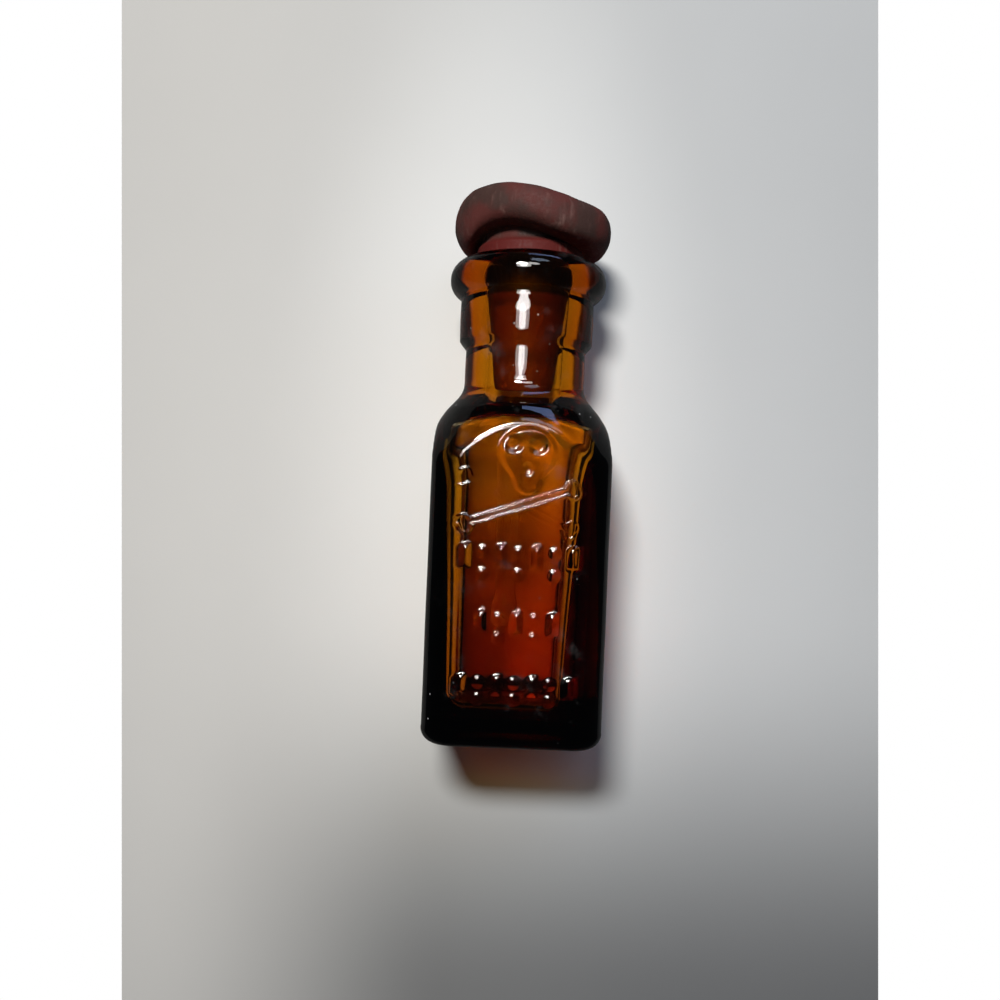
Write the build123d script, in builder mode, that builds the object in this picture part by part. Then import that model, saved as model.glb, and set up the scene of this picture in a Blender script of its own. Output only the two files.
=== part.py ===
"""Square moulded glass bottle with raised touch marks, closed by a perished rubber stopper
that carries a glass applicator rod.

Millimetres, +Z up. The origin is the centre of the base, and the marked face looks along -Y.
"""

import math
import os

from build123d import *

# Driving dimensions of the bottle's body
body_width = 25.4
corner_radius = 4.4
heel_radius = 2.0
glass_height = 69.4
base_ring_width = 1.7
base_dish_depth = 0.5

# Mouth and bore, which the stopper's plug and the neck follow
mouth_radius = 6.3
mouth_depth = 2.6
mouth_flare = 1.7
bore_step = 0.7

# Lip, collar, neck and shoulder, stacked downwards from the top of the glass
lip_height = 5.6
lip_step = 1.7
lip_slope_height = 1.1
lip_side_round = 2.6
lip_top_round = 2.8
collar_height = 7.6
collar_step = 1.0
collar_chamfer_height = 1.2
neck_height = 6.3
neck_wall = 3.3
neck_sweep_height = 2.8
neck_root_round = 3.4
shoulder_height = 10.9
shoulder_bow = 0.3
shoulder_bow_round = 60.0
knuckle_flare = 2.5
knuckle_round = 4.0

# Walls and levels of the hollow, measured from the glass around it
floor_thickness = 4.5
floor_round = 2.2
foot_wall = 4.2
top_wall = 3.3
hollow_corner_radius = 2.6
hollow_shoulder_rise = 1.0
hollow_knuckle_drop = 0.8
hollow_knuckle_flare = 2.0
hollow_knuckle_round = 3.0
bore_root_drop = 1.7
bore_root_round = 2.6
bore_taper_drop = 0.2

# Touch marks on the front face, in rows at shares of the height below the shoulder
mark_height = 0.55
mark_draft = 26.0
bar_width = 1.3
stud_radius = 0.72
upper_row_share = 0.7127
upper_mark_length = 4.0
upper_mark_count = 7
middle_row_share = 0.453
middle_mark_length = 4.0
middle_mark_count = 5
lower_row_share = 0.232
lower_mark_length = 3.2
lower_mark_count = 7
mark_margin = 0.3

# Rubber stopper: a round head that has warped with age, over a tapered plug
head_radius = 11.6
head_shift = 0.6
head_edge_round = 2.2
head_left_top = 9.4
head_left_bottom = 1.4
head_curl_drop = 0.8
head_arch_rise = 3.7
head_middle_thickness = 5.4
head_right_top = 7.5
head_right_bottom = 1.5
head_curl_inset = 3.6
head_arch_inset = 8.2
head_dip_inset = 4.2
plug_clearance = 0.08
plug_insertion = 20.8
plug_tip_clearance = 1.45
plug_tip_chamfer = 0.6
plug_collar_step = 1.0
plug_collar_height = 1.0

# Applicator rod, held in a socket of the plug
rod_radius = 1.6
rod_socket_wall = 0.9
rod_socket_depth = 8.0
rod_socket_gap = 0.4
rod_squeeze = 0.05
rod_tip_clearance = 10.5
rod_tip_swell = 0.45
rod_tip_length = 5.0
rod_tip_taper_length = 1.6
rod_tip_round_share = 0.98

# How far a cutting shape runs past what it cuts
overrun = 0.5

os.makedirs("parts", exist_ok=True)

half_width = body_width / 2
corner_reach = (half_width - corner_radius) * math.sqrt(2) + corner_radius
base_dish_radius = half_width - heel_radius - base_ring_width

# Radii of the neck, from the bore outwards
bore_radius = mouth_radius - bore_step
neck_radius = bore_radius + neck_wall
collar_radius = neck_radius + collar_step
lip_radius = collar_radius + lip_step

# Levels above the base
lip_level = glass_height - lip_height
collar_level = lip_level - collar_height
neck_root_level = collar_level - neck_height
knuckle_level = neck_root_level - neck_sweep_height
shoulder_level = knuckle_level - shoulder_height

# Foot and top of the shoulder's dome, and its middle, which bows out from the straight line between them
dome_foot_radius = corner_reach + overrun
dome_top_radius = neck_radius + knuckle_flare
dome_slope = math.atan2(dome_foot_radius - dome_top_radius, shoulder_height)
dome_middle = (
    (dome_foot_radius + dome_top_radius) / 2 + shoulder_bow * math.cos(dome_slope),
    (shoulder_level + knuckle_level) / 2 + shoulder_bow * math.sin(dome_slope),
)

# The hollow
hollow_foot_width = body_width - 2 * foot_wall
hollow_top_width = body_width - 2 * top_wall
hollow_reach = (hollow_top_width / 2 - hollow_corner_radius) * math.sqrt(2) + hollow_corner_radius
hollow_shoulder_level = shoulder_level + hollow_shoulder_rise

# The widest row of marks fills the flat part of the front
flat_width = body_width - 2 * corner_radius
mark_spacing = (flat_width - 2 * mark_margin - bar_width) / (upper_mark_count - 1)


def outer_profile():
    """Half outline of everything that is round about the bottle's axis, with its corner rounds."""
    points = [
        (0, -overrun),
        (dome_foot_radius, -overrun),
        (dome_foot_radius, shoulder_level),
        dome_middle,
        (dome_top_radius, knuckle_level),
        (neck_radius, neck_root_level),
        (neck_radius, collar_level),
        (collar_radius, collar_level + collar_chamfer_height),
        (collar_radius, lip_level),
        (lip_radius, lip_level + lip_slope_height),
        (lip_radius, glass_height),
        (0, glass_height),
    ]
    rounds = [
        0,
        0,
        0,
        shoulder_bow_round,
        knuckle_round,
        neck_root_round,
        0,
        0,
        0,
        lip_side_round,
        lip_top_round,
        0,
    ]
    return points, rounds


def hollow_profile():
    """Half outline of the hollow's domed roof, the bore and the flared mouth."""
    points = [
        (0, floor_thickness - overrun),
        (hollow_reach + overrun, floor_thickness - overrun),
        (hollow_reach + overrun, hollow_shoulder_level),
        (bore_radius + hollow_knuckle_flare, knuckle_level - hollow_knuckle_drop),
        (bore_radius, neck_root_level - bore_root_drop),
        (bore_radius, collar_level - bore_taper_drop),
        (mouth_radius, glass_height - mouth_depth),
        (mouth_radius + mouth_flare, glass_height),
        (mouth_radius + mouth_flare, glass_height + overrun),
        (0, glass_height + overrun),
    ]
    rounds = [0, 0, 0, hollow_knuckle_round, bore_root_round, 0, 0, 0, 0, 0]
    return points, rounds


def mark_places(count, height):
    """Centres of one row of touch marks, as (x, z, is a bar)."""
    first = -(count - 1) / 2 * mark_spacing
    return [(first + n * mark_spacing, height, n % 2 == 0) for n in range(count)]


# The hollow as a solid of its own: square at the foot, domed under the shoulder, round in the bore
with BuildPart() as hollow_body:
    with BuildSketch(Plane.XY.offset(floor_thickness)):
        RectangleRounded(hollow_foot_width, hollow_foot_width, hollow_corner_radius)
    with BuildSketch(Plane.XY.offset(hollow_shoulder_level)):
        RectangleRounded(hollow_top_width, hollow_top_width, hollow_corner_radius)
    loft()
    extrude(hollow_body.faces().sort_by(Axis.Z)[-1], amount=glass_height)
    fillet(hollow_body.faces().sort_by(Axis.Z)[0].edges(), floor_round)
    with BuildSketch(Plane.XZ):
        with BuildLine():
            hollow_points, hollow_rounds = hollow_profile()
            FilletPolyline(*hollow_points, radius=hollow_rounds, close=True)
        make_face()
    revolve(axis=Axis.Z, mode=Mode.INTERSECT)

# The glass: a rounded square column under a round one, cut by the round profile and hollowed,
# with marks on its front
with BuildPart() as glass_bottle:
    with BuildSketch(Plane.XY):
        RectangleRounded(body_width, body_width, corner_radius)
    extrude(amount=collar_level)
    fillet(glass_bottle.faces().sort_by(Axis.Z)[0].edges(), heel_radius)
    with BuildSketch(Plane.XY.offset(collar_level)):
        Circle(corner_reach)
    extrude(amount=glass_height - collar_level)
    with BuildSketch(Plane.XZ):
        with BuildLine():
            outer_points, outer_rounds = outer_profile()
            FilletPolyline(*outer_points, radius=outer_rounds, close=True)
        make_face()
    revolve(axis=Axis.Z, mode=Mode.INTERSECT)
    add(hollow_body.part, mode=Mode.SUBTRACT)

    # Dish in the base, so that the bottle stands on a flat ring
    with BuildSketch(Plane.XZ):
        with BuildLine():
            Polyline((0, base_dish_depth), (0, -overrun), (base_dish_radius, -overrun), (base_dish_radius, 0))
            TangentArc((0, base_dish_depth), (base_dish_radius, 0), tangent=(1, 0))
        make_face()
    revolve(axis=Axis.Z, mode=Mode.SUBTRACT)

    # Touch marks: upright bars, and pairs of studs between them
    front_face = Plane(origin=(0, -half_width, 0), x_dir=(1, 0, 0), z_dir=(0, -1, 0))
    for row_share, mark_length, mark_count in (
        (upper_row_share, upper_mark_length, upper_mark_count),
        (middle_row_share, middle_mark_length, middle_mark_count),
        (lower_row_share, lower_mark_length, lower_mark_count),
    ):
        with BuildSketch(front_face):
            for mark_x, mark_z, is_bar in mark_places(mark_count, row_share * shoulder_level):
                if is_bar:
                    with Locations((mark_x, mark_z)):
                        SlotOverall(mark_length, bar_width, rotation=90)
                else:
                    stud_rise = mark_length / 2 - stud_radius
                    with Locations((mark_x, mark_z - stud_rise), (mark_x, mark_z + stud_rise)):
                        Circle(stud_radius)
        extrude(amount=mark_height, taper=mark_draft)

glass_bottle.part.label = "glass_bottle"
export_step(glass_bottle.part, "parts/glass_bottle.step")

# Stopper sizes that follow the bottle's lip and bore
plug_tip_radius = bore_radius - plug_tip_clearance
plug_collar_radius = mouth_radius + plug_collar_step
rod_offset = plug_tip_radius - rod_socket_wall - (rod_radius - rod_squeeze)
plug_tip_height = glass_height - plug_insertion
seat_height = glass_height - mouth_depth
head_left = head_shift - head_radius
head_right = head_shift + head_radius
arch_height = glass_height + head_arch_rise

with BuildPart() as rubber_stopper:
    # The head seen from the front: a thick sheet that arches on the left and sags on the right
    with BuildSketch(Plane.XZ.offset(-(head_radius + overrun))):
        with BuildLine():
            head_top = Spline(
                (head_left - overrun, glass_height + head_left_top),
                (head_left + head_arch_inset, arch_height + head_middle_thickness),
                (head_right - head_dip_inset, glass_height + head_right_top),
                (head_right + overrun, glass_height + head_right_top),
            )
            head_bottom = Spline(
                (head_left - overrun, glass_height + head_left_bottom),
                (head_left + head_curl_inset, arch_height - head_curl_drop),
                (head_left + head_arch_inset, arch_height),
                (head_right - head_dip_inset, glass_height + head_right_bottom),
                (head_right + overrun, glass_height + head_right_bottom),
            )
            Line(head_top @ 0, head_bottom @ 0)
            Line(head_top @ 1, head_bottom @ 1)
        make_face()
    extrude(amount=2 * (head_radius + overrun))
    with BuildSketch(Plane.XY.offset(glass_height)):
        with Locations((head_shift, 0)):
            Circle(head_radius)
    extrude(amount=glass_height, mode=Mode.INTERSECT)
    fillet(rubber_stopper.edges().filter_by(GeomType.LINE, reverse=True), head_edge_round)

    # The plug, tapered more than the bore so that it grips at the mouth
    with BuildSketch(Plane.XZ):
        with BuildLine():
            Polyline(
                (0, plug_tip_height),
                (plug_tip_radius - plug_tip_chamfer, plug_tip_height),
                (plug_tip_radius, plug_tip_height + plug_tip_chamfer),
                (mouth_radius - plug_clearance, seat_height),
                (plug_collar_radius, glass_height + plug_collar_height),
                (plug_collar_radius, arch_height + head_middle_thickness / 2),
                (0, arch_height + head_middle_thickness / 2),
                close=True,
            )
        make_face()
    revolve(axis=Axis.Z)

    # Socket for the rod
    with BuildSketch(Plane.XY.offset(plug_tip_height - overrun)):
        with Locations((-rod_offset, 0)):
            Circle(rod_radius - rod_squeeze)
    extrude(amount=rod_socket_depth + overrun, mode=Mode.SUBTRACT)

rubber_stopper.part.label = "rubber_stopper"
export_step(rubber_stopper.part, "parts/rubber_stopper.step")

# The rod: drawn glass with a swollen, rounded tip
rod_top_height = plug_tip_height + rod_socket_depth - rod_socket_gap
rod_tip_height = floor_thickness + rod_tip_clearance
tip_radius = rod_radius + rod_tip_swell

with BuildPart() as applicator_rod:
    with BuildSketch(Plane.XZ.shift_origin((-rod_offset, 0, 0))):
        with BuildLine():
            FilletPolyline(
                (0, rod_tip_height),
                (tip_radius, rod_tip_height),
                (tip_radius, rod_tip_height + rod_tip_length - rod_tip_taper_length),
                (rod_radius, rod_tip_height + rod_tip_length),
                (rod_radius, rod_top_height),
                (0, rod_top_height),
                radius=[
                    0,
                    tip_radius * rod_tip_round_share,
                    rod_tip_taper_length / 2,
                    rod_tip_taper_length / 2,
                    0,
                    0,
                ],
                close=True,
            )
        make_face()
    revolve(axis=Axis((-rod_offset, 0, 0), (0, 0, 1)))

applicator_rod.part.label = "applicator_rod"
export_step(applicator_rod.part, "parts/applicator_rod.step")

print("glass", round(glass_bottle.part.volume), "mm3, hollow", round(hollow_body.part.volume), "mm3")
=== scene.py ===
"""Looks of an amber poison bottle with a perished rubber stopper, seen lying on a pale table.

Blender units are metres. Sizes are written in millimetres, times MM, and the marked face looks along -Y.
"""

import math

import bpy
import numpy as np
from mathutils import Matrix, Vector


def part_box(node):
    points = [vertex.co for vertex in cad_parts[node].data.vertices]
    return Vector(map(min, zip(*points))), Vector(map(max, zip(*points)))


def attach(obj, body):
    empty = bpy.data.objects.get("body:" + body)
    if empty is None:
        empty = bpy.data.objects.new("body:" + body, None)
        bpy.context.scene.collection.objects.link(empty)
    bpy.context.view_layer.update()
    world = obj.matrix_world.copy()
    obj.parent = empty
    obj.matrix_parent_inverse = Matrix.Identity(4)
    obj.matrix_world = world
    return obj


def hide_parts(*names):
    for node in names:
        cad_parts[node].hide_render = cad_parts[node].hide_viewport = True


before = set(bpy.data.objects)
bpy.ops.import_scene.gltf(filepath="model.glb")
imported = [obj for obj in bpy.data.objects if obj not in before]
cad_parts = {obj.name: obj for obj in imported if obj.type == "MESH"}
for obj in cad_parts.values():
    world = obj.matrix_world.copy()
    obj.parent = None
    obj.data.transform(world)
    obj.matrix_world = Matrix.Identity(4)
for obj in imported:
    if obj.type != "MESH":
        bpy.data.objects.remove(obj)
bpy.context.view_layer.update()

MM = 0.001

# Sizes read from the frame
glass_low, glass_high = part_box("glass_bottle")
half_width = glass_high.x
glass_top = glass_high.z
relief_height = -glass_low.y - half_width

# Outside of the glass
corner_radius = 4.4 * MM
heel_radius = 2.0 * MM
dish_radius = 9.0 * MM
dish_depth = 0.5 * MM
knuckle_level = 47.1 * MM
knuckle_radius = 11.4 * MM
knuckle_round = 4.0 * MM
neck_root_level = 49.9 * MM
neck_root_round = 3.4 * MM
neck_radius = 8.9 * MM
collar_level = 56.2 * MM
collar_radius = 9.9 * MM
collar_chamfer = 1.2 * MM
collar_round = 0.7 * MM
band_bow = 0.06 * MM
band_bow_round = 50 * MM
lip_level = 63.8 * MM
lip_radius = 11.6 * MM
lip_slope = 1.1 * MM
lip_under_round = 0.8 * MM
lip_side_round = 2.6 * MM
lip_top_round = 2.8 * MM
arch_round = 0.7 * MM
# The domed shoulder's radius grows with the drop below the knuckle, less a share of the drop squared
dome_slope = 0.704
dome_bow = 0.0103

# Inside of the glass
floor_level = 4.5 * MM
floor_round = 2.2 * MM
hollow_foot_half = 7.8 * MM
hollow_top_half = 9.4 * MM
hollow_foot_corner = 1.7 * MM
hollow_top_corner = 3.0 * MM
hollow_least_corner = 0.2 * MM
hollow_flare = 0.8 * MM
hollow_flare_level = 35 * MM
hollow_shoulder_level = 44.6 * MM
hollow_shoulder_round = 3.0 * MM
hollow_reach = 13.2 * MM
hollow_knuckle_radius = 7.5 * MM
hollow_knuckle_level = 46.5 * MM
hollow_knuckle_round = 1.8 * MM
roof_round = 1.6 * MM
roof_overrun = 3 * roof_round
bore_root_level = 48.3 * MM
bore_root_round = 2.6 * MM
bore_radius = 5.6 * MM
bore_taper_level = 56.0 * MM
bore_taper_round = 8 * MM
mouth_radius = 6.3 * MM
mouth_depth = 2.6 * MM
mouth_flare = 1.7 * MM
mouth_round = 0.5 * MM
mouth_bend_round = 1.0 * MM
# The hollow leans to the left, and its depth is a share of its width that changes with the height
hollow_lean = -0.5 * MM
hollow_lean_run = 8 * MM
hollow_foot_lean = -0.6 * MM
hollow_depth_levels = (floor_level, 20 * MM, 37 * MM, hollow_knuckle_level)
hollow_depth_shares = (0.86, 0.94, 1.07, 1.0)

# How finely rounded corners are drawn, and what counts as nothing
arc_step = 0.16
least_arc_points = 3
least_turn = 1e-6
tiny = 1e-9


def arc_rows(start, end, count):
    """Evenly spaced values from start to end, without the last."""
    return list(np.linspace(start, end, count, endpoint=False))


def rounded_path(corners, rounds, spacing):
    """Points along a polyline of (radius, height) corners, each rounded by its own radius."""
    corners = [np.array(c, float) for c in corners]
    path = [corners[0]]
    for before, corner, after, radius in zip(corners, corners[1:], corners[2:], rounds):
        way_in = (corner - before) / np.linalg.norm(corner - before)
        way_out = (after - corner) / np.linalg.norm(after - corner)
        turn = math.acos(max(-1.0, min(1.0, float(way_in @ way_out))))
        if radius == 0 or turn < least_turn:
            path.append(corner)
            continue
        reach = radius * math.tan(turn / 2)
        side = np.array((-way_in[1], way_in[0]))
        if side @ way_out < 0:
            side = -side
        centre = corner - way_in * reach + side * radius
        for part in np.linspace(0, 1, max(least_arc_points, int(turn / arc_step))):
            angle = turn * part
            path.append(centre - side * radius * math.cos(angle) + way_in * radius * math.sin(angle))
    path.append(corners[-1])
    dense = [path[0]]
    for point in path[1:]:
        start = dense[-1]
        gap = point - start
        steps = max(1, math.ceil(np.linalg.norm(gap) / spacing))
        for n in range(1, steps + 1):
            dense.append(start + gap * n / steps)
    return np.array(dense)


def square_reach(angles, half, radius):
    """Distance from the axis to a rounded square, at each angle from its front."""
    folded = np.abs((angles + math.pi / 4) % (math.pi / 2) - math.pi / 4)
    flat_end = math.atan2(half - radius, half)
    flat = half / np.cos(folded)
    centre_gap = (half - radius) * math.sqrt(2)
    lean = math.pi / 4 - folded
    inside = np.maximum(radius**2 - (centre_gap * np.sin(lean)) ** 2, 0)
    corner = centre_gap * np.cos(lean) + np.sqrt(inside)
    return np.where(folded < flat_end, flat, corner)


def soft_least(a, b, blend):
    """The lesser of two values, with a rounded change from one to the other."""
    share = np.clip(0.5 + 0.5 * (b - a) / blend, 0, 1)
    return b * (1 - share) + a * share - blend * share * (1 - share)


def smooth_step(value):
    """0 below 0, 1 above 1, and a smooth rise between."""
    value = np.clip(value, 0, 1)
    return value * value * (3 - 2 * value)


def unit(vectors):
    """The same directions, each of length 1."""
    return vectors / np.maximum(np.linalg.norm(vectors, axis=-1, keepdims=True), tiny)


# A ripple's waves differ in length by these shares, and their sum is raised to about 1
wave_length_shares = (0.7, 1.6)
wave_gain = 1.6


def ripple(points, wavelength, seed, stretch=(1, 1, 1), waves=9):
    """A smooth uneven field of about -1 to 1 over the points, the same on every run."""
    rng = np.random.default_rng(seed)
    total = np.zeros(points.shape[:-1])
    for n in range(waves):
        direction = rng.normal(size=3)
        direction /= np.linalg.norm(direction)
        direction /= np.array(stretch)
        length = wavelength * rng.uniform(*wave_length_shares)
        total += np.sin(points @ direction * 2 * math.pi / length + rng.uniform(0, 2 * math.pi))
    return total / waves * wave_gain


def make_piece(name, points, start_pole, end_pole, material, body):
    """A closed smooth mesh from rings of points with a single point at each end."""
    rows, columns = points.shape[:2]
    vertices = [tuple(start_pole)] + [tuple(p) for p in points.reshape(-1, 3)] + [tuple(end_pole)]
    last = len(vertices) - 1
    faces = []
    for c in range(columns):
        d = (c + 1) % columns
        faces.append((0, 1 + d, 1 + c))
        faces.append((last, last - columns + c, last - columns + d))
    for r in range(rows - 1):
        low = 1 + r * columns
        for c in range(columns):
            d = (c + 1) % columns
            faces.append((low + c, low + d, low + columns + d, low + columns + c))
    mesh = bpy.data.meshes.new(name)
    mesh.from_pydata(vertices, [], faces)
    mesh.polygons.foreach_set("use_smooth", [True] * len(mesh.polygons))
    mesh.update()
    piece = bpy.data.objects.new(name, mesh)
    bpy.context.scene.collection.objects.link(piece)
    mesh.materials.append(material)
    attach(piece, body)
    return piece


# Relief on the front face. Every place and size is in millimetres on that face, as (across, up).
# Each row of marks has the level of its bars' middle, their length and its number of places
mark_rows = (
    (27.1, 5.0, 7),
    (18.0, 4.4, 5),
    (9.3, 3.8, 7),
)
mark_spacing = 2.45
bar_half_width = 0.95
bar_height = 0.36
bar_tilt = 0.13
bar_crown = 0.07
bar_bend = 0.5
bar_arch = 0.1
bar_side_slope = 0.45
bar_side_blend = 0.2
bar_top_blend = 0.15
stud_radius = 0.95
stud_height = 0.19
stud_drop = 0.6
skull_centre = (0.75, 40.7)
skull_radii = (3.75, 3.35)
skull_share = 0.8
skull_edge = 0.95
jaw_top = (0.6, 39.0)
jaw_bottom = (0.75, 36.75)
jaw_radius = 1.75
jaw_blend = 1.6
eye_places = ((-1.35, 41.85), (2.05, 41.75))
eye_radius = 1.5
eye_share = 0.45
eye_rim = 0.85
nose_place = (0.7, 38.45)
nose_radii = (0.8, 1.0)
nose_share = 0.36
nose_power = 0.8
bright_bone = ((-7.55, 30.7), (7.1, 35.8))
dull_bone = ((-7.9, 37.1), (6.9, 30.3))
bone_half_width = 0.45
knob_radius = 0.72
knob_spread = 0.5
knob_blend = 0.5
bead_half_width = 0.24
bead_power = 1.5
bright_bead_share = 0.3
dull_bead_share = 0.09


def segment_distance(x, z, start, end):
    """Distance on the face from each point to a straight segment."""
    run = (end[0] - start[0], end[1] - start[1])
    length = run[0] ** 2 + run[1] ** 2
    share = np.clip(((x - start[0]) * run[0] + (z - start[1]) * run[1]) / length, 0, 1)
    return np.hypot(x - start[0] - share * run[0], z - start[1] - share * run[1])


def raised(distance, edge):
    """Height share of a raised form, from the distance outside its outline."""
    return smooth_step(0.5 - distance / edge)


def bar_relief(x, z, across, level, length):
    """A raised bar, crowned and a little tilted, that falls away in a curve above its middle."""
    aside = x - across
    over = np.maximum(z - level, 0)
    crown = bar_height + bar_tilt * aside - bar_crown * aside**2 / 2
    crown = crown - bar_bend * over**2 / 2 - bar_arch * aside**2 * over
    side = (bar_half_width - np.abs(aside)) * bar_side_slope
    foot = (z - level + length / 2) * bar_side_slope
    return np.maximum(soft_least(soft_least(side, foot, bar_side_blend), crown, bar_top_blend), 0)


def stud_relief(x, z, across, level):
    """A raised stud, domed."""
    return np.clip(1 - ((x - across) ** 2 + (z - level) ** 2) / stud_radius**2, 0, 1) * stud_height


def marks_relief(x, z):
    """Rows of upright bars, with a pair of studs between each two."""
    height = np.zeros_like(x)
    for level, length, count in mark_rows:
        for n in range(count):
            across = (n - (count - 1) / 2) * mark_spacing
            if n % 2 == 0:
                height = np.maximum(height, bar_relief(x, z, across, level, length))
            else:
                height = np.maximum(height, stud_relief(x, z, across, level))
                height = np.maximum(height, stud_relief(x, z, across, level - length * stud_drop))
    return height


def skull_relief(x, z):
    """A low skull with sunk eye sockets, a nose and a narrow jaw, as a share of the relief's height."""
    scaled = np.hypot((x - skull_centre[0]) / skull_radii[0], (z - skull_centre[1]) / skull_radii[1])
    cranium = (scaled - 1) * min(skull_radii)
    jaw = segment_distance(x, z, jaw_top, jaw_bottom) - jaw_radius
    outline = soft_least(cranium, jaw, jaw_blend)
    height = raised(outline, skull_edge) * skull_share
    for place in eye_places:
        inward = (eye_radius - np.hypot(x - place[0], z - place[1])) / eye_rim
        height = height - eye_share * smooth_step(inward)
    bowl = 1 - ((x - nose_place[0]) / nose_radii[0]) ** 2 - ((z - nose_place[1]) / nose_radii[1]) ** 2
    return height - nose_share * np.clip(bowl, 0, 1) ** nose_power


def bone_relief(x, z, bone, share):
    """The outline of a bone with a pair of knobs at both ends, as a fine bead."""
    start, end = bone
    run = np.array(end) - np.array(start)
    run /= np.hypot(*run)
    across = np.array((-run[1], run[0])) * knob_spread
    outline = segment_distance(x, z, start, end) - bone_half_width
    for tip in (start, end):
        for side in (-1, 1):
            knob = np.hypot(x - tip[0] - side * across[0], z - tip[1] - side * across[1]) - knob_radius
            outline = soft_least(outline, knob, knob_blend)
    return np.clip(1 - (outline / bead_half_width) ** 2, 0, 1) ** bead_power * share


def front_relief(x, z):
    """Outward height of the front face, in metres."""
    across = x / MM
    up = z / MM
    height = bone_relief(across, up, bright_bone, bright_bead_share)
    height = np.maximum(height, bone_relief(across, up, dull_bone, dull_bead_share))
    skull = skull_relief(across, up)
    height = np.where(skull < 0, skull, np.maximum(height, skull))
    return height * relief_height + marks_relief(across, up) * MM


# The glass mesh: how far apart its columns and rows are, and how many rows its turns have
front_column_gap = 0.13 * MM
plain_column_gap = 1.4 * MM
corner_columns = 11
plain_row_gap = 0.9 * MM
outside_spacing = 0.7 * MM
inside_spacing = 1.0 * MM
fine_row_gap = 0.12 * MM
mark_row_gap = 0.16 * MM
relief_bands = (
    (5.6 * MM, 10.8 * MM, mark_row_gap),
    (13.4 * MM, 19.2 * MM, mark_row_gap),
    (22.6 * MM, 28.6 * MM, mark_row_gap),
    (28.6 * MM, 44.8 * MM, fine_row_gap),
)
relief_top = relief_bands[-1][1]
relief_side_reach = 0.6 * MM
base_rows = 16
base_middle_share = 0.06
heel_rows = 9
wall_rows = 26
floor_turn_rows = 10
floor_rows = 8
floor_middle_share = 0.08

# Waviness of the glass, outside and inside. The inside is calm near the mouth
glass_wave_stretch = (1, 1, 1.6)
outside_wave_length = 9 * MM
outside_wave_seed = 11
outside_wave_height = 0.035 * MM
outside_wave_sink = 0.04 * MM
inside_wave_length = 11 * MM
inside_wave_seed = 23
inside_wave_height = 0.22 * MM
calm_depth = 4 * MM
calm_run = 12 * MM


def column_angles():
    """Angles from the front, dense across the front face and round the corners."""
    flat_half = half_width - corner_radius
    angles = []
    for side in range(4):
        gap = front_column_gap if side == 0 else plain_column_gap
        count = round(2 * flat_half / gap)
        across = np.linspace(-flat_half, flat_half, count, endpoint=False)
        angles += list(np.arctan2(across, half_width) + side * math.pi / 2)
        turn = math.atan2(flat_half, half_width)
        start = turn + side * math.pi / 2
        angles += arc_rows(start, math.pi / 2 - turn + side * math.pi / 2, corner_columns)
    return np.array(angles)


def body_levels(start, end):
    """Heights of the rows up the straight body, dense where the front is in relief."""
    levels = [start]
    while levels[-1] < end:
        level = levels[-1]
        gaps = [gap for low, high, gap in relief_bands if low - plain_row_gap < level < high]
        levels.append(level + min(gaps, default=plain_row_gap))
    return np.array(levels[:-1])


def ring(reach, level, angles):
    """One ring of points at a height, from its reach at each angle."""
    levels = np.broadcast_to(level, angles.shape)
    return np.stack((reach * np.sin(angles), -reach * np.cos(angles), levels), -1)


def dome_reach(level):
    """Radius of the domed shoulder at a height."""
    drop = (knuckle_level - level) / MM
    return knuckle_radius + (dome_slope * drop - dome_bow * drop**2) * MM


def outside_rings(angles):
    """Rings from the middle of the base up to the top of the lip."""
    rings = []
    foot = square_reach(angles, half_width - heel_radius, corner_radius - heel_radius)
    for share in np.linspace(base_middle_share, 1, base_rows):
        reach = foot * share
        dish = np.clip(1 - (reach / dish_radius) ** 2, 0, 1) * dish_depth
        rings.append(ring(reach, dish, angles))
    for turn in np.linspace(0, math.pi / 2, heel_rows)[1:]:
        inset = heel_radius * (1 - math.sin(turn))
        level = heel_radius * (1 - math.cos(turn))
        rings.append(ring(square_reach(angles, half_width - inset, corner_radius - inset), level, angles))
    square = square_reach(angles, half_width, corner_radius)
    for level in body_levels(heel_radius + fine_row_gap, relief_top):
        rings.append(ring(soft_least(square, dome_reach(level), arch_round), level, angles))
    path = rounded_path(
        (
            (dome_reach(relief_top), relief_top),
            (knuckle_radius, knuckle_level),
            (neck_radius, neck_root_level),
            (neck_radius + band_bow, (neck_root_level + collar_level) / 2),
            (neck_radius, collar_level),
            (collar_radius, collar_level + collar_chamfer),
            (collar_radius + band_bow, (collar_level + collar_chamfer + lip_level) / 2),
            (collar_radius, lip_level),
            (lip_radius, lip_level + lip_slope),
            (lip_radius, glass_top),
            (mouth_radius + mouth_flare, glass_top),
        ),
        (
            knuckle_round,
            neck_root_round,
            band_bow_round,
            collar_round,
            collar_round,
            band_bow_round,
            lip_under_round,
            lip_side_round,
            lip_top_round,
        ),
        outside_spacing,
    )
    for reach, level in path:
        rings.append(ring(soft_least(square, reach, arch_round), level, angles))
    return rings


def hollow_wall(angles, level, inset=0.0):
    """Reach of the hollow's side wall, which tapers towards the floor."""
    share = min(max((level - floor_level) / (hollow_shoulder_level - floor_level), 0), 1)
    half = hollow_foot_half + (hollow_top_half - hollow_foot_half) * share
    rise = (level - hollow_flare_level) / (hollow_shoulder_level - hollow_flare_level)
    half += hollow_flare * float(smooth_step(rise))
    corner = hollow_foot_corner + (hollow_top_corner - hollow_foot_corner) * share**2
    return square_reach(angles, half - inset, max(corner - inset, hollow_least_corner))


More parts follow.
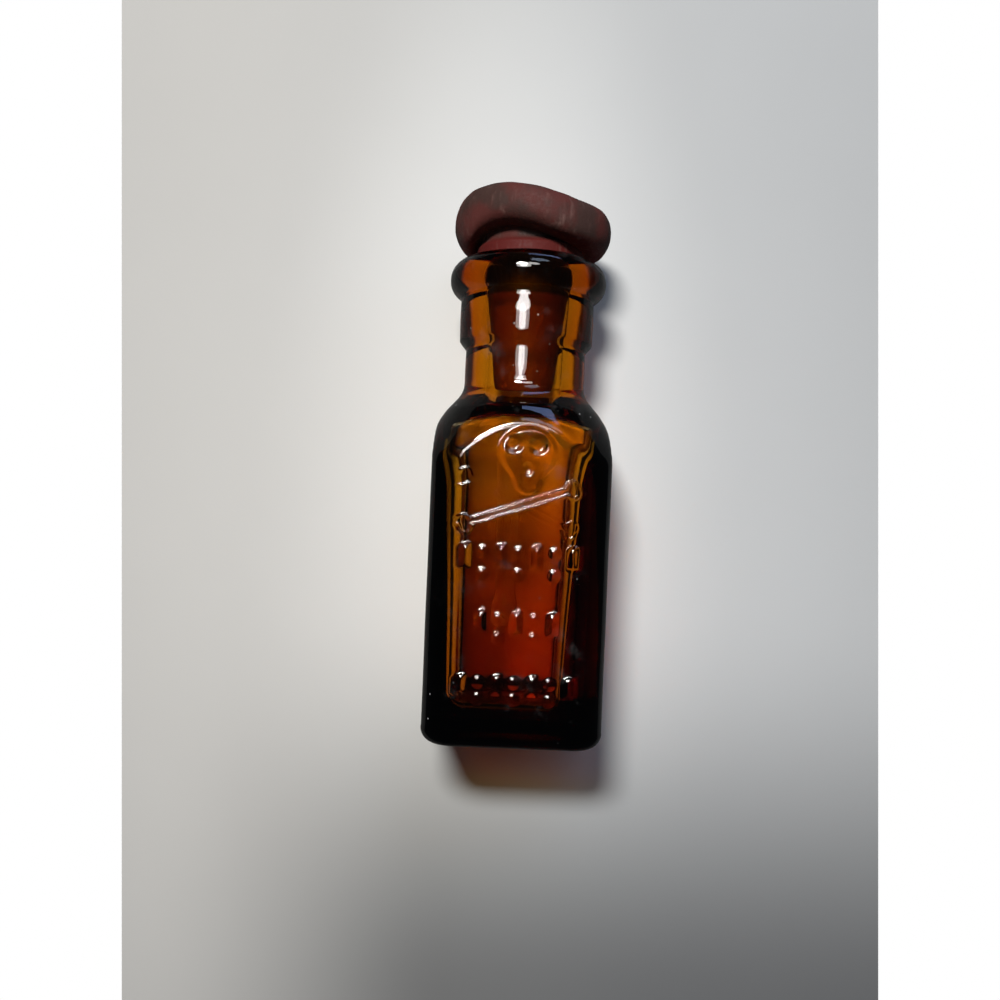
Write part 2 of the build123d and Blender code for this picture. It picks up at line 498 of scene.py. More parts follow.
def inside_rings(angles):
    """Rings from the mouth down the bore and the hollow to the middle of its floor."""
    rings = []
    path = rounded_path(
        (
            (mouth_radius + mouth_flare + mouth_round, glass_top),
            (mouth_radius + mouth_flare, glass_top),
            (mouth_radius, glass_top - mouth_depth),
            (bore_radius, bore_taper_level),
            (bore_radius, bore_root_level),
            (hollow_knuckle_radius, hollow_knuckle_level),
            (hollow_reach, hollow_shoulder_level),
            (hollow_reach + roof_overrun, hollow_shoulder_level - 2 * roof_overrun),
        ),
        (
            mouth_round,
            mouth_bend_round,
            bore_taper_round,
            bore_root_round,
            hollow_knuckle_round,
            hollow_shoulder_round,
        ),
        inside_spacing,
    )
    top = square_reach(angles, hollow_top_half + hollow_flare, hollow_top_corner)
    for reach, level in path[1:]:
        wall = hollow_wall(angles, level) if level < hollow_shoulder_level else top
        rings.append(ring(soft_least(wall, reach, roof_round), level, angles))
    end = path[-1][1]
    for level in np.linspace(end, floor_level + floor_round, wall_rows)[1:]:
        rings.append(ring(hollow_wall(angles, level), level, angles))
    for turn in np.linspace(math.pi / 2, 0, floor_turn_rows)[1:]:
        inset = floor_round * (1 - math.sin(turn))
        level = floor_level + floor_round * (1 - math.cos(turn))
        rings.append(ring(hollow_wall(angles, level, inset), level, angles))
    floor = hollow_wall(angles, floor_level, floor_round)
    for share in np.linspace(1, floor_middle_share, floor_rows)[1:]:
        rings.append(ring(floor * share, floor_level, angles))
    return rings


def glass_outside(angles):
    """The outer skin, with the relief on its front and a slight waviness."""
    points = np.array(outside_rings(angles))
    across = np.abs(points[..., 0])
    front = (points[..., 1] < 0) & (across < half_width - corner_radius + relief_side_reach)
    relief = front_relief(points[..., 0], points[..., 2])
    points[..., 1] -= np.where(front & (points[..., 2] < relief_top), relief, 0)
    waves = ripple(points, outside_wave_length, outside_wave_seed, stretch=glass_wave_stretch)
    swell = waves * outside_wave_height - outside_wave_sink
    sides = points[..., 2:3] > heel_radius
    points[..., :2] += np.where(sides, unit(points[..., :2]) * swell[..., None], 0)
    return points


def glass_inside(angles):
    """The inner skin, uneven and leaning as blown hollows are."""
    points = np.array(inside_rings(angles))
    waves = ripple(points, inside_wave_length, inside_wave_seed, stretch=glass_wave_stretch)
    calm = smooth_step((glass_top - mouth_depth - calm_depth - points[..., 2]) / calm_run)
    points[..., :2] += unit(points[..., :2]) * (waves * inside_wave_height * calm)[..., None]
    points[..., 1] *= np.interp(points[..., 2], hollow_depth_levels, hollow_depth_shares)
    points[..., 0] += hollow_lean * smooth_step((knuckle_level - points[..., 2]) / hollow_lean_run)
    points[..., 0] += hollow_foot_lean * np.clip(1 - points[..., 2] / hollow_shoulder_level, 0, 1)
    return points


def make_glass(material):
    """The bottle as one closed skin of glass, outside and inside."""
    angles = column_angles()
    points = np.concatenate((glass_outside(angles), glass_inside(angles)))
    base_middle = (0, 0, dish_depth)
    floor_middle = (0, 0, floor_level)
    glass = make_piece("amber_glass_bottle", points, base_middle, floor_middle, material, "bottle")
    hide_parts("glass_bottle")


# Stopper: its head's top and underside, as (across, height) in millimetres along the front
head_top = (
    (-11.6, 77.4),
    (-10.2, 78.5),
    (-8.0, 78.85),
    (-5.5, 78.85),
    (-3.0, 78.6),
    (0.0, 78.0),
    (3.0, 77.3),
    (6.0, 76.9),
    (9.0, 76.8),
    (11.0, 76.7),
    (12.6, 76.2),
)
head_underside = (
    (-11.6, 72.0),
    (-10.4, 70.9),
    (-8.8, 70.7),
    (-7.4, 72.3),
    (-5.4, 73.1),
    (-3.0, 73.2),
    (0.0, 72.6),
    (3.0, 71.8),
    (6.0, 71.1),
    (9.0, 70.8),
    (11.0, 71.0),
    (12.6, 72.4),
)
head_top_softness = 2.4 * MM
head_underside_softness = 2.0 * MM
head_radius = 11.6 * MM
head_centre = 0.6 * MM
head_edge = 2.6 * MM
head_edge_power = 2.6
# The head's edge is out of round in waves, each with a count round it, a start and a share of its radius
head_waves = ((3, 1.0, 0.012), (5, 2.2, 0.008))
head_columns = 200
head_rows = 26
head_middle_share = 0.05
head_edge_rows = 34
head_crease_rows = 8
curve_steps = 400
plug_spacing = 0.5 * MM
plug_crease_radius = 7.3 * MM
plug_crease_level = 71.6 * MM
plug_crease_gap = 0.05 * MM
plug_bulge_radius = 7.9 * MM
plug_bulge_level = 71.0 * MM
plug_bulge_round = 0.4 * MM
plug_over_lip = 0.12 * MM
plug_under_lip = 0.4 * MM
plug_flare_round = 0.3 * MM
plug_seat_radius = 6.22 * MM
plug_seat_round = 1.0 * MM
plug_tip_level = 48.6 * MM
plug_tip_radius = 4.15 * MM
plug_tip_round = 0.7 * MM

# Bumps of the rubber, large and small, where it is clear of the mouth
large_bump_length = 7 * MM
large_bump_seed = 5
large_bump_height = 0.16 * MM
small_bump_length = 2.2 * MM
small_bump_seed = 6
small_bump_waves = 14
small_bump_height = 0.05 * MM
bump_foot = 0.3 * MM
bump_run = 1.5 * MM
bump_centre_rise = 3 * MM


def smooth_curve(x, points, softness):
    """Heights along a chain of points, with its corners blended over a length."""
    places, values = np.array(points, float).T * MM
    grid = np.linspace(places[0] - softness, places[-1] + softness, curve_steps)
    line = np.interp(grid, places, values)
    weights = np.hanning(max(3, round(softness / (grid[1] - grid[0]))))
    padded = np.pad(line, len(weights) // 2, mode="edge")
    line = np.convolve(padded, weights / weights.sum(), mode="valid")[: len(grid)]
    return np.interp(x, grid, line)


def head_ring(reach, share, angles, centre=head_centre):
    """One ring of the head: share is 1 at its top and -1 at its underside."""
    wavy = 1 + sum(part * np.sin(count * angles + start) for count, start, part in head_waves)
    x = centre + reach * wavy * np.sin(angles)
    y = -reach * wavy * np.cos(angles)
    top = smooth_curve(x, head_top, head_top_softness)
    underside = smooth_curve(x, head_underside, head_underside_softness)
    return np.stack((x, y, (top + underside) / 2 + share * (top - underside) / 2), -1)


def stopper_rings(angles):
    """Rings from the middle of the head's top over its rim and down the plug."""
    rings = []
    inner = head_radius - head_edge
    for share in np.linspace(head_middle_share, 1, head_rows):
        rings.append(head_ring(inner * share, 1, angles))
    for turn in np.linspace(math.pi / 2, -math.pi / 2, head_edge_rows)[1:]:
        out = math.cos(turn) ** (2 / head_edge_power)
        up = math.copysign(abs(math.sin(turn)) ** (2 / head_edge_power), turn)
        rings.append(head_ring(inner + head_edge * out, up, angles))
    for share in np.linspace(0, 1, head_crease_rows)[1:]:
        reach = inner + (plug_crease_radius - inner) * share
        rings.append(head_ring(reach, -1, angles, head_centre * (1 - share)))
    crease = rings[-1]
    path = rounded_path(
        (
            (plug_crease_radius, plug_crease_level),
            (plug_bulge_radius, plug_bulge_level),
            (plug_bulge_radius, glass_top + plug_over_lip),
            (plug_crease_radius, glass_top - plug_under_lip),
            (plug_seat_radius, glass_top - mouth_depth),
            (plug_tip_radius, plug_tip_level),
            (plug_tip_radius / 3, plug_tip_level),
        ),
        (plug_bulge_round, plug_bulge_round, plug_flare_round, plug_seat_round, plug_tip_round),
        plug_spacing,
    )
    for reach, level in path:
        row = ring(np.full_like(angles, reach), level, angles)
        room = np.clip((crease[:, 2] - level) / MM, 0, 1)
        tucked = level * room + (crease[:, 2] - plug_crease_gap) * (1 - room)
        row[:, 2] = np.where(room < 1, tucked, level)
        rings.append(row)
    return rings


def make_stopper(material):
    """The perished rubber stopper, warped head and tapered plug in one piece."""
    angles = np.linspace(0, 2 * math.pi, head_columns, endpoint=False)
    points = np.array(stopper_rings(angles))
    free = smooth_step((points[..., 2] - glass_top - bump_foot) / bump_run)
    outward = unit(points - np.array((head_centre, 0, glass_top + bump_centre_rise)))
    large = ripple(points, large_bump_length, large_bump_seed) * large_bump_height
    small = ripple(points, small_bump_length, small_bump_seed, waves=small_bump_waves) * small_bump_height
    points += outward * ((large + small) * free)[..., None]
    top_middle = points[0].mean(axis=0)
    tip_middle = (0, 0, plug_tip_level)
    stopper = make_piece("aged_rubber_stopper", points, top_middle, tip_middle, material, "stopper")
    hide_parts("rubber_stopper")


class Graph:
    """A tree of shader nodes, with short calls for the nodes that repeat."""

    def __init__(self, tree):
        self.nodes = tree.nodes
        self.links = tree.links

    def feed(self, value, socket):
        """Gives an input a value: another node's socket, or a number or colour."""
        if isinstance(value, bpy.types.NodeSocket):
            self.links.new(value, socket)
        else:
            socket.default_value = value

    def place(self):
        """A point's place in the piece's own coordinates."""
        return self.nodes.new("ShaderNodeTexCoord").outputs["Object"]

    def parts(self, vector):
        """The X, Y and Z of a vector, by name."""
        split = self.nodes.new("ShaderNodeSeparateXYZ")
        self.feed(vector, split.inputs[0])
        return split.outputs

    def vector(self, operation, first, second=None):
        """A node that works on vectors."""
        node = self.nodes.new("ShaderNodeVectorMath")
        node.operation = operation
        self.feed(first, node.inputs[0])
        if second is not None:
            self.feed(second, node.inputs[1])
        return node

    def combine(self, operation, first, second):
        """Two values joined by one operation."""
        node = self.nodes.new("ShaderNodeMath")
        node.operation = operation
        self.feed(first, node.inputs[0])
        self.feed(second, node.inputs[1])
        return node.outputs[0]

    def product(self, first, *others):
        """The product of two or more values."""
        for other in others:
            first = self.combine("MULTIPLY", first, other)
        return first

    def ramp(self, value, low, high, floor=0.0):
        """The value spread smoothly from the floor at low to 1 at high."""
        spread = self.nodes.new("ShaderNodeMapRange")
        spread.interpolation_type = "SMOOTHSTEP"
        spread.inputs["From Min"].default_value = low
        spread.inputs["From Max"].default_value = high
        spread.inputs["To Min"].default_value = floor
        self.feed(value, spread.inputs["Value"])
        return spread.outputs["Result"]

    def blend(self, factor, first, second, kind="MIX"):
        """Two colours mixed by a factor."""
        mix = self.nodes.new("ShaderNodeMix")
        mix.data_type = "RGBA"
        mix.blend_type = kind
        self.feed(factor, mix.inputs[0])
        self.feed(first, mix.inputs[6])
        self.feed(second, mix.inputs[7])
        return mix.outputs[2]

    def tint(self, colour, tint):
        """The product of two colours."""
        return self.blend(1, colour, tint, "MULTIPLY")

    def noise(self, place, scale, detail, roughness=0.55, stretch=(1, 1, 1)):
        """A noise field, in so many spots to a metre."""
        mapping = self.nodes.new("ShaderNodeMapping")
        mapping.inputs["Scale"].default_value = stretch
        self.feed(place, mapping.inputs["Vector"])
        texture = self.nodes.new("ShaderNodeTexNoise")
        texture.inputs["Scale"].default_value = scale
        texture.inputs["Detail"].default_value = detail
        texture.inputs["Roughness"].default_value = roughness
        self.feed(mapping.outputs[0], texture.inputs["Vector"])
        return texture.outputs["Fac"]

    def bump(self, height, strength, distance, shader):
        """Small relief for a shader, from a height."""
        bump = self.nodes.new("ShaderNodeBump")
        bump.inputs["Strength"].default_value = strength
        bump.inputs["Distance"].default_value = distance
        self.feed(height, bump.inputs["Height"])
        self.feed(bump.outputs[0], shader.inputs["Normal"])

    def mix_shaders(self, factor, first, second):
        """Two shaders mixed by a factor."""
        mix = self.nodes.new("ShaderNodeMixShader")
        self.feed(factor, mix.inputs[0])
        self.feed(first, mix.inputs[1])
        self.feed(second, mix.inputs[2])
        return mix.outputs[0]


def new_material(name):
    """A node material, as (material, graph, its Principled shader, its output)."""
    material = bpy.data.materials.new(name)
    material.use_nodes = True
    nodes = material.node_tree.nodes
    return material, Graph(material.node_tree), nodes["Principled BSDF"], nodes["Material Output"]


black = (0, 0, 0, 1)
white = (1, 1, 1, 1)

# Amber glass
amber_colour = (0.913, 0.77, 0.2, 1)
amber_density = 1000
glass_roughness = 0.015
glass_index = 1.52
# Painted shade: the glass's base colour goes nearly black at the thick corners and heel, which look dark as
# they let little light through
clear_half = 8.2 * MM
thick_half = 9.8 * MM
painted_shade_floor = 0.02
heel_top = 5.2 * MM
heel_foot = 3.6 * MM
# Painted shadow: less of the lamps' light passes the bottle's back low on the left, which darkens the table
# seen through it there
back_shadow_share = 0.3
back_shadow_near = 10.8 * MM
back_shadow_far = 11.2 * MM
back_shadow_top = 34 * MM
back_shadow_foot = 27 * MM
back_shadow_left = -2.0 * MM
back_shadow_right = 2.5 * MM
# How fast the lamps' light that passes a surface of glass falls off as it comes in more aslant
facing_blend = 0.5
aslant_loss = 2.0
# The neck's sides bend the lamps' light away from its shadow
neck_clear_half = 4.5 * MM
neck_blocked_half = 7.0 * MM
neck_side_share = 0.1
# Dust on the glass: cells to a metre, a speck's size and soft edge, and the share of cells left bare
speck_scale = 620
speck_radius = 0.06
speck_edge = 1.3
speck_rarity = 0.8
speck_colour = (0.5, 0.5, 0.52, 1)
# A thin film of dust in patches
film_scale = 170
film_detail = 5.0
film_roughness = 0.7
film_low = 0.56
film_high = 0.72
film_amount = 0.03


def body_places(graph):
    """A place on the piece and its distances from the middle, by axis."""
    place = graph.place()
    return graph.parts(place), graph.parts(graph.vector("ABSOLUTE", place).outputs[0])


def painted_corner_shade(graph):
    """Painted shade: 1 where the glass has the hollow behind it, and little at the solid corners and heel,
    darkening their base colour.
    """
    parts, sizes = body_places(graph)
    lesser = graph.combine("MINIMUM", sizes["X"], sizes["Y"])
    side = graph.ramp(lesser, thick_half, clear_half, painted_shade_floor)
    heel = graph.ramp(parts["Z"], heel_foot, heel_top, painted_shade_floor)
    return graph.product(side, heel)


def lamp_window(graph):
    """How much of the lamps' light passes: less at the back low on the left, a painted shadow, and at the
    neck's sides.
    """
    parts, sizes = body_places(graph)
    back = graph.ramp(parts["Y"], back_shadow_near, back_shadow_far)
    low = graph.ramp(parts["Z"], back_shadow_top, back_shadow_foot)
    left = graph.ramp(parts["X"], back_shadow_right, back_shadow_left)
    lost = graph.product(back, low, left, 1 - back_shadow_share)
    neck = graph.ramp(parts["Z"], knuckle_level, neck_root_level)
    aside = graph.ramp(sizes["X"], neck_clear_half, neck_blocked_half)
    blocked = graph.product(neck, aside, 1 - neck_side_share)
    return graph.combine("SUBTRACT", 1, graph.combine("MAXIMUM", lost, blocked))


def let_lamps_through(graph, shader, output, window=None):
    """Shadow rays pass the glass, less so where it lies aslant, so that lamps light what is behind it."""
    path = graph.nodes.new("ShaderNodeLightPath")
    aslant = graph.nodes.new("ShaderNodeLayerWeight")
    aslant.inputs["Blend"].default_value = facing_blend
    facing = graph.combine("SUBTRACT", 1, aslant.outputs["Facing"])
    passed = graph.combine("POWER", facing, aslant_loss)
    if window is not None:
        passed = graph.product(passed, window)
    clear = graph.nodes.new("ShaderNodeBsdfTransparent")
    graph.feed(passed, clear.inputs["Color"])
    mixed = graph.mix_shaders(path.outputs["Is Shadow Ray"], shader.outputs[0], clear.outputs[0])
    graph.feed(mixed, output.inputs["Surface"])


def dust_specks(graph):
    """Pale specks scattered over the glass, and a thin film in patches."""
    place = graph.place()
    cells = graph.nodes.new("ShaderNodeTexVoronoi")
    cells.inputs["Scale"].default_value = speck_scale
    graph.feed(place, cells.inputs["Vector"])
    dots = graph.ramp(cells.outputs["Distance"], speck_radius * speck_edge, speck_radius)
    shade = graph.parts(cells.outputs["Color"])
    chosen = graph.combine("GREATER_THAN", shade["X"], speck_rarity)
    dots = graph.product(dots, chosen, shade["Y"])
    patches = graph.ramp(graph.noise(place, film_scale, film_detail, film_roughness), film_low, film_high)
    return graph.combine("MAXIMUM", dots, graph.product(patches, film_amount))


def amber_glass_material():
    """Thick amber glass, with a little dust and painted shade at its corners and heel."""
    material, graph, shader, output = new_material("amber_glass")
    specks = dust_specks(graph)
    # Painted shade: black base colour at the thick corners and heel
    clear = graph.blend(painted_corner_shade(graph), black, white)
    graph.feed(graph.blend(specks, clear, speck_colour), shader.inputs["Base Color"])
    graph.feed(graph.combine("SUBTRACT", 1, specks), shader.inputs["Transmission Weight"])
    shader.inputs["Roughness"].default_value = glass_roughness
    shader.inputs["IOR"].default_value = glass_index
    absorb = graph.nodes.new("ShaderNodeVolumeAbsorption")
    absorb.inputs["Color"].default_value = amber_colour
    absorb.inputs["Density"].default_value = amber_density
    graph.feed(absorb.outputs[0], output.inputs["Volume"])
    let_lamps_through(graph, shader, output, lamp_window(graph))
    return material


# Rubber: the head's skin in brown and red patches, its underside, and the plug in the mouth and below; in
# the mouth it is near black, dark dirt with painted shade under the head
skin_brown = (0.06, 0.03, 0.025, 1)
skin_red = (0.1, 0.026, 0.022, 1)
patch_scale = 190
patch_low = 0.38
patch_high = 0.62
underside_colour = (0.11, 0.013, 0.011, 1)
underside_low = glass_top + 1.6 * MM
underside_high = glass_top + 2.6 * MM
held_colour = (0.06, 0.012, 0.012, 1)
mouth_dirt_and_shade = (0.002, 0.002, 0.003, 1)
mouth_shade_low = lip_level - 0.5 * MM
mouth_shade_high = lip_level + 0.3 * MM
skin_low = glass_top - 0.1 * MM
skin_high = glass_top + 0.3 * MM
# Dust in upright streaks, where a second noise lets it lie
streak_scale = 900
streak_stretch = (1, 1, 0.16)
streak_low = 0.5
streak_high = 0.75
dust_scale = 330
dust_low = 0.4
dust_high = 0.66
dust_share = 0.5
dust_colour = (0.26, 0.15, 0.13, 1)
# Pits and grain
grain_scale = 2600
grain_detail = 4.0
grain_roughness = 0.7
pit_shallow = 0.36
pit_deep = 0.26
pit_share = 0.7
pit_colour = (0.02, 0.008, 0.007, 1)
sheen_low = -0.6
sheen_high = 1.2
rubber_specular = 0.15
rubber_bump = 0.5
rubber_bump_height = 0.12 * MM
plain_detail = 3.0


def rubber_material():
    """Perished brown-red rubber with dusty streaks, pits, a redder underside and a near black plug in the
    mouth, partly painted shade.
    """
    material, graph, shader, output = new_material("aged_rubber")
    place = graph.place()
    level = graph.parts(place)["Z"]
    patches = graph.noise(place, patch_scale, plain_detail)
    streaks = graph.noise(place, streak_scale, plain_detail, stretch=streak_stretch)
    grain = graph.noise(place, grain_scale, grain_detail, grain_roughness)
    skin = graph.blend(graph.ramp(patches, patch_low, patch_high), skin_brown, skin_red)
    colour = graph.blend(graph.ramp(level, underside_low, underside_high), underside_colour, skin)
    # The plug inside the lip is near black: dirty rubber with painted shade under the head
    held = graph.blend(graph.ramp(level, mouth_shade_low, mouth_shade_high), held_colour, mouth_dirt_and_shade)
    above_mouth = graph.ramp(level, skin_low, skin_high)
    colour = graph.blend(above_mouth, held, colour)
    lying = graph.ramp(graph.noise(place, dust_scale, plain_detail), dust_low, dust_high)
    dust = graph.product(graph.ramp(streaks, streak_low, streak_high), lying, above_mouth, dust_share)
    colour = graph.blend(dust, colour, dust_colour)
    pits = graph.product(graph.ramp(grain, pit_shallow, pit_deep), above_mouth, pit_share)
    graph.feed(graph.blend(pits, colour, pit_colour), shader.inputs["Base Color"])
    graph.feed(graph.ramp(grain, sheen_low, sheen_high), shader.inputs["Roughness"])
    shader.inputs["Specular IOR Level"].default_value = rubber_specular
    graph.bump(graph.combine("ADD", grain, streaks), rubber_bump, rubber_bump_height, shader)
    return material


# Rod
rod_roughness = 0.2
rod_index = 1.15


def rod_glass_material():
    """Clear drawn glass, whose edges show only faintly."""
    material, graph, shader, output = new_material("rod_glass")
    shader.inputs["Base Color"].default_value = white
    shader.inputs["Roughness"].default_value = rod_roughness
    shader.inputs["IOR"].default_value = rod_index
    shader.inputs["Transmission Weight"].default_value = 1
    let_lamps_through(graph, shader, output)
    return material


# Camera, above the bottle and square to its marked face
camera_place = (-2.86 * MM, -135.4 * MM, 34.1 * MM)
camera_roll = 2.4
camera_lens = 32.58
camera_clip = 1 * MM


def frame_axes():
    """Which ways are right and up in the camera's frame."""
    roll = math.radians(camera_roll)
    return Vector((math.cos(roll), 0, math.sin(roll))), Vector((-math.sin(roll), 0, math.cos(roll)))


def make_camera():
    """Looks along +Y, rolled so that the bottle leans as in the photograph."""
    data = bpy.data.cameras.new("camera")
    data.lens = camera_lens
    data.clip_start = camera_clip
    camera = bpy.data.objects.new("camera", data)
    bpy.context.scene.collection.objects.link(camera)
    right, up = frame_axes()
    back = right.cross(up)
    camera.matrix_world = Matrix.Translation(camera_place) @ Matrix((right, up, back)).transposed().to_4x4()
    bpy.context.scene.camera = camera


# The table, behind the bottle as the camera sees it
table_half_width = 61.9 * MM
table_half_height = 400 * MM
# The table's colours: pale, lit and bright for the painted light round the bottle, and a shade colour for
# the painted shade and mottle
table_pale = (0.572, 0.567, 0.558, 1)
table_lit = (0.797, 0.79, 0.778, 1)
table_bright = (0.955, 0.95, 0.93, 1)
table_shade = (0.109, 0.108, 0.11, 1)
# Painted light: ovals of brighter table round the bottle, as a centre and reaches along X and Z
glow_centre = (-4 * MM, 0, -22 * MM)
glow_reach = (148 * MM, 1, 146 * MM)
halo_centre = (-4 * MM, 0, 12 * MM)
halo_reach = (43 * MM, 1, 134 * MM)
glow_core = 0.1
# Painted shade: darker below the bottle, less so on the left
fall_top = 20 * MM
fall_foot = -48 * MM
fall_left = -61 * MM
fall_right = -8 * MM
fall_share = 0.82
# The shade that the bottle casts on the table behind its panel, deepest in the middle and low on the left
panel_shade_top = 43.5 * MM
panel_shade_full = 38.5 * MM
panel_shade_low = 23 * MM
panel_shade_foot = 12 * MM
panel_shade_left = -1 * MM
panel_shade_right = 9 * MM
panel_shade_share = 0.78
panel_shade_right_share = 0.6
panel_shade_half = 11 * MM
panel_shade_edge = 14 * MM
low_shade_left = -3 * MM
low_shade_right = 2.5 * MM
low_shade_top = 30 * MM
low_shade_share = 0.6
# Mottle, a painted tint of the light from warm on the left to cool on the right, and how pale the table
# looks where the glass mirrors it
mottle_scale = 60
mottle_share = 0.04
warm_tint = (1.0, 0.985, 0.96, 1)
cool_tint = (0.955, 0.975, 1.0, 1)
tint_left = -60 * MM
tint_right = 40 * MM
reflected_share = 0.16
table_roughness = 0.6
table_specular = 0.1
table_grain_scale = 900
table_bump = 0.2
table_bump_height = 0.05 * MM


def glow_share(graph, place, centre, reach):
    """How near a place on the table is to the middle of an oval of painted light."""
    scaled = graph.nodes.new("ShaderNodeMapping")
    scaled.inputs["Scale"].default_value = [1 / length for length in reach]
    scaled.inputs["Location"].default_value = [-middle / length for middle, length in zip(centre, reach)]
    graph.feed(place, scaled.inputs["Vector"])
    flat = graph.vector("MULTIPLY", scaled.outputs[0], (1, 0, 1))
    distance = graph.vector("LENGTH", flat.outputs[0])
    return graph.ramp(distance.outputs["Value"], 1.0, glow_core)


def panel_shade(graph):
    """How deep the bottle's shade is on the table behind its panel."""
    parts, sizes = body_places(graph)
    top = graph.ramp(parts["Z"], panel_shade_top, panel_shade_full)
    foot = graph.ramp(parts["Z"], panel_shade_foot, panel_shade_low)
    across = graph.ramp(parts["X"], panel_shade_right, panel_shade_left, panel_shade_right_share)
    middle = graph.product(top, foot, across, panel_shade_share)
    left = graph.ramp(parts["X"], low_shade_right, low_shade_left)
    low = graph.ramp(parts["Z"], low_shade_top, panel_shade_low)
    above_base = graph.ramp(parts["Z"], 0, floor_level)
    corner = graph.product(left, low, low_shade_share, above_base)
    behind = graph.ramp(sizes["X"], panel_shade_edge, panel_shade_half)
    return graph.product(graph.combine("MAXIMUM", middle, corner), behind)


def table_colour(graph, place):
    """Pale, with painted light brightest round the bottle, painted shade falling off below it, least on the
    left, and behind the panel, and a painted warm-to-cool tint.
    """
    parts = graph.parts(place)
    colour = graph.blend(glow_share(graph, place, glow_centre, glow_reach), table_pale, table_lit)
    colour = graph.blend(glow_share(graph, place, halo_centre, halo_reach), colour, table_bright)
    fall = graph.ramp(parts["Z"], fall_top, fall_foot)
    side = graph.ramp(parts["X"], fall_left, fall_right)
    mottle = graph.noise(place, mottle_scale, plain_detail)
    for depth in (
        graph.product(fall, side, fall_share),
        panel_shade(graph),
        graph.product(mottle, mottle_share),
    ):
        colour = graph.blend(depth, colour, table_shade)
    across = graph.ramp(parts["X"], tint_left, tint_right)
    return graph.tint(colour, graph.blend(across, warm_tint, cool_tint))


def table_material():
    """Pale board that is darker in mirror images, and clear seen from behind."""
    material, graph, shader, output = new_material("table_top")
    place = graph.place()
    rays = graph.nodes.new("ShaderNodeLightPath").outputs
    mirrored = graph.combine("GREATER_THAN", rays["Is Glossy Ray"], rays["Is Transmission Ray"])
    darker = graph.blend(mirrored, white, (reflected_share,) * 3 + (1,))
    graph.feed(graph.tint(table_colour(graph, place), darker), shader.inputs["Base Color"])
    shader.inputs["Roughness"].default_value = table_roughness
    shader.inputs["Specular IOR Level"].default_value = table_specular
    graph.bump(graph.noise(place, table_grain_scale, plain_detail), table_bump, table_bump_height, shader)
    behind = graph.nodes.new("ShaderNodeNewGeometry").outputs["Backfacing"]
    clear = graph.nodes.new("ShaderNodeBsdfTransparent")
    graph.feed(graph.mix_shaders(behind, shader.outputs[0], clear.outputs[0]), output.inputs["Surface"])
    return material


def make_table():
    """A pale board that the bottle's back lies on, seen from its front only."""
    middle = Vector((camera_place[0], half_width, camera_place[2]))
    right, up = (axis * reach for axis, reach in zip(frame_axes(), (table_half_width, table_half_height)))
    corners = (middle - right - up, middle + right - up, middle + right + up, middle - right + up)
    mesh = bpy.data.meshes.new("table")
    mesh.from_pydata(corners, [], [(0, 1, 2, 3)])
    table = bpy.data.objects.new("table", mesh)
    bpy.context.scene.collection.objects.link(table)
    mesh.materials.append(table_material())


# Lamps, placed by the angles that they span as seen from the middle of the bottle. Each has its azimuth,
# elevation, width and height in degrees, its distance in metres, its radiance and its colour
lamp_target = Vector((0, 0, 40 * MM))
warm_light = (1, 0.985, 0.95)
glint_light = (1, 0.98, 0.96)
lamps = {
    "sun_lamp": (-11, 24.5, 15, 8, 0.35, 105, warm_light),
    "window_lamp": (16, 43, 24, 15, 0.5, 3.2, (0.6, 0.75, 1.0)),
    "fill_lamp": (58, 38, 40, 30, 0.5, 1.1, (0.65, 0.8, 1.0)),
    "glint_lamp": (-8, 12, 21, 13, 0.5, 6, glint_light),
    "glint_core_lamp": (-8, 11.5, 11, 9, 0.49, 15, glint_light),
    "glint_top_lamp": (-8, 15.5, 23, 4, 0.48, 14, glint_light),
    "arch_lamp": (4, 25, 20, 9, 0.5, 10, (1, 0.98, 0.98)),
    "sky_lamp": (50, 71, 30, 8, 0.5, 3, (0.35, 0.5, 1.0)),
}
square_lamps = ("sky_lamp",)
unreflected_lamps = ("fill_lamp",)
only_reflected_lamps = ("glint_lamp", "glint_core_lamp", "glint_top_lamp", "arch_lamp", "sky_lamp")


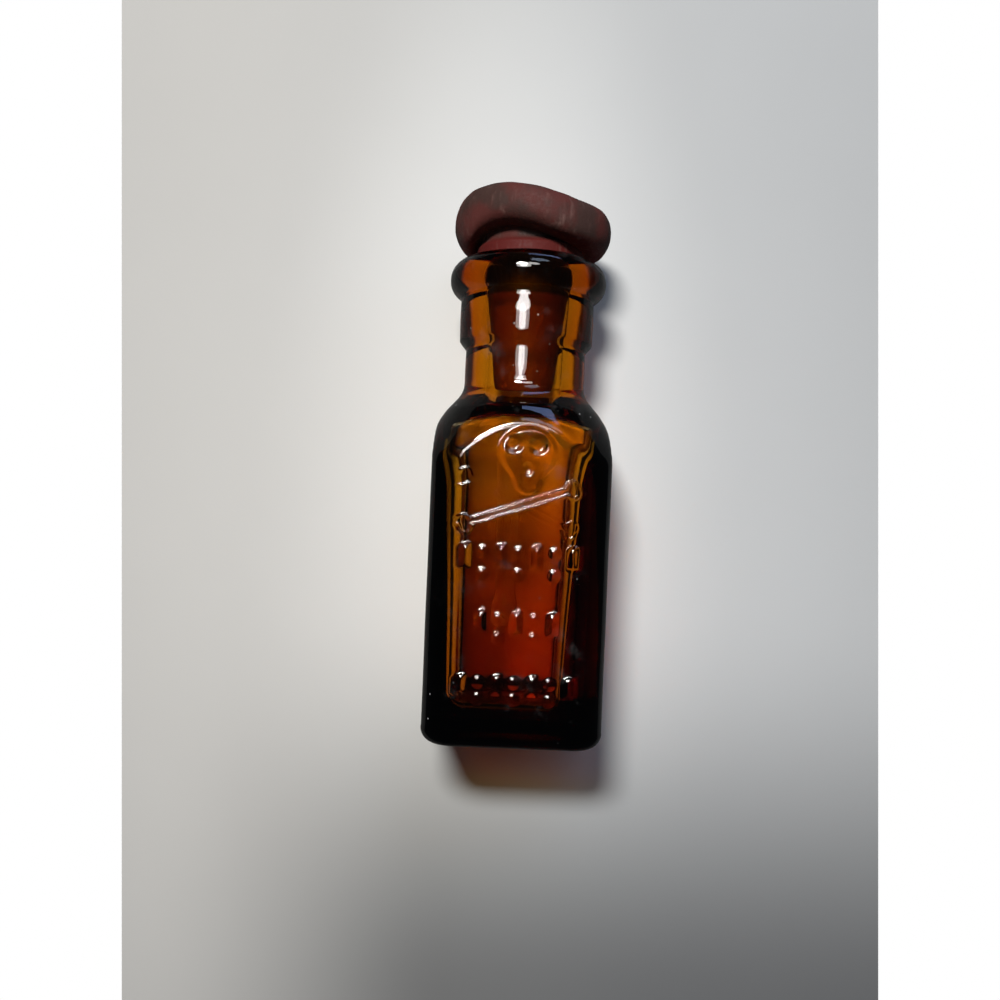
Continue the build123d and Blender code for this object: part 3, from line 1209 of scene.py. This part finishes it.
def make_lamp(name, azimuth, elevation, wide, high, distance, radiance, colour):
    """A lamp in front of the bottle, in the direction and with the spans given in degrees."""
    turn = math.radians(azimuth)
    rise = math.radians(elevation)
    towards = Vector((math.sin(turn) * math.cos(rise), -math.cos(turn) * math.cos(rise), math.sin(rise)))
    across = (Vector((1, 0, 0)) - towards * towards.x).normalized()
    data = bpy.data.lights.new(name, "AREA")
    data.shape = "RECTANGLE" if name in square_lamps else "ELLIPSE"
    data.size = 2 * distance * math.tan(math.radians(wide) / 2)
    data.size_y = 2 * distance * math.tan(math.radians(high) / 2)
    area = data.size * data.size_y * (1 if name in square_lamps else math.pi / 4)
    data.energy = radiance * math.pi * area
    data.color = colour
    lamp = bpy.data.objects.new(name, data)
    bpy.context.scene.collection.objects.link(lamp)
    facing = Matrix((across, towards.cross(across), towards)).transposed().to_4x4()
    lamp.matrix_world = Matrix.Translation(lamp_target + towards * distance) @ facing
    lamp.visible_transmission = False
    lamp.visible_glossy = name not in unreflected_lamps
    lamp.visible_diffuse = name not in only_reflected_lamps


# Light from all round
dim_colour = (0.75, 0.85, 1.0, 1)
dim_strength = 0.02
half_a_bounce = 0.5


def make_world():
    """Dim light from all round, and a white background for the camera and what glass lets through."""
    world = bpy.data.worlds.new("world")
    bpy.context.scene.world = world
    world.use_nodes = True
    graph = Graph(world.node_tree)
    dim = graph.nodes["Background"]
    dim.inputs["Color"].default_value = dim_colour
    dim.inputs["Strength"].default_value = dim_strength
    pale = graph.nodes.new("ShaderNodeBackground")
    pale.inputs["Color"].default_value = white
    rays = graph.nodes.new("ShaderNodeLightPath").outputs
    bounces = graph.combine("ADD", rays["Diffuse Depth"], rays["Glossy Depth"])
    straight = graph.combine("LESS_THAN", bounces, half_a_bounce)
    through = graph.product(rays["Is Transmission Ray"], straight)
    seen = graph.combine("MAXIMUM", rays["Is Camera Ray"], through)
    mixed = graph.mix_shaders(seen, dim.outputs[0], pale.outputs[0])
    graph.feed(mixed, graph.nodes["World Output"].inputs["Surface"])


make_camera()
make_table()
for lamp_name, lamp_values in lamps.items():
    make_lamp(lamp_name, *lamp_values)
make_world()
bpy.context.scene.view_settings.view_transform = "Standard"

make_glass(amber_glass_material())
make_stopper(rubber_material())
rod_material = rod_glass_material()
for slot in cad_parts["applicator_rod"].material_slots:
    slot.material = rod_material
